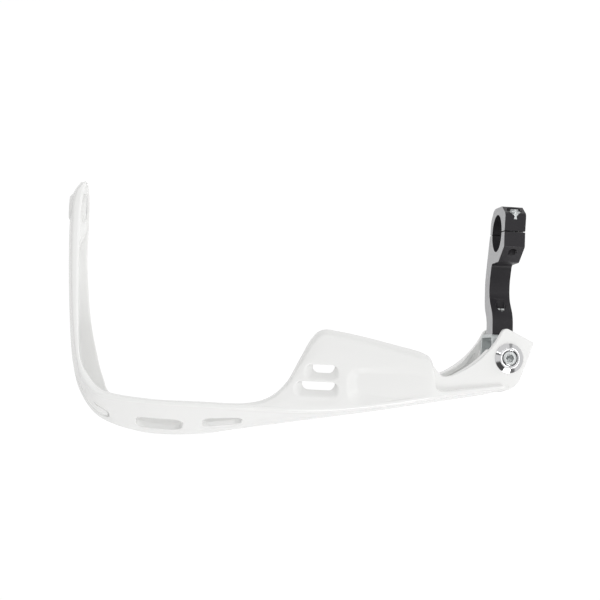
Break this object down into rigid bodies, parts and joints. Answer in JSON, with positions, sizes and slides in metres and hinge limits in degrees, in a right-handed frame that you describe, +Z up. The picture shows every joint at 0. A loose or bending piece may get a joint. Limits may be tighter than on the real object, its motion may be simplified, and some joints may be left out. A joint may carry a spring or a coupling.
{
  "type": "motorcycle hand guard",
  "caption": "Wrap-round moulded hand guard with a shield, air slots and vents, held on the handlebar by a split clamp, an arm and a U bracket.",
  "frame": {"origin": "centre of the clamp's bore, at the middle of the clamp's width", "axes": "+X along the handlebar from its end towards the clamp, +Y towards the rider, +Z up, as the guard is fitted"},
  "size_m": [0.2765, 0.1447, 0.0561],
  "materials": {
    "shell": "white glossy moulding",
    "bush": "turned, zinc-plated",
    "anodised": "black anodised, milled side faces",
    "fasteners": "zinc-plated",
    "bracket": "bent strip, bright zinc",
    "collar": "turned and polished"
  },
  "bodies": {
    "root": {"guard_shell": "shell", "bar_end_bush": "bush", "clamp_arm": "anodised", "clamp_cap": "anodised", "clamp_screw": "fasteners", "u_bracket": "bracket", "bracket_screw": "fasteners", "pivot_bolt": "fasteners", "pivot_collar": "collar", "pivot_spacer": "fasteners", "pivot_washer": "fasteners", "pivot_nut": "fasteners"}
  },
  "joints": []
}
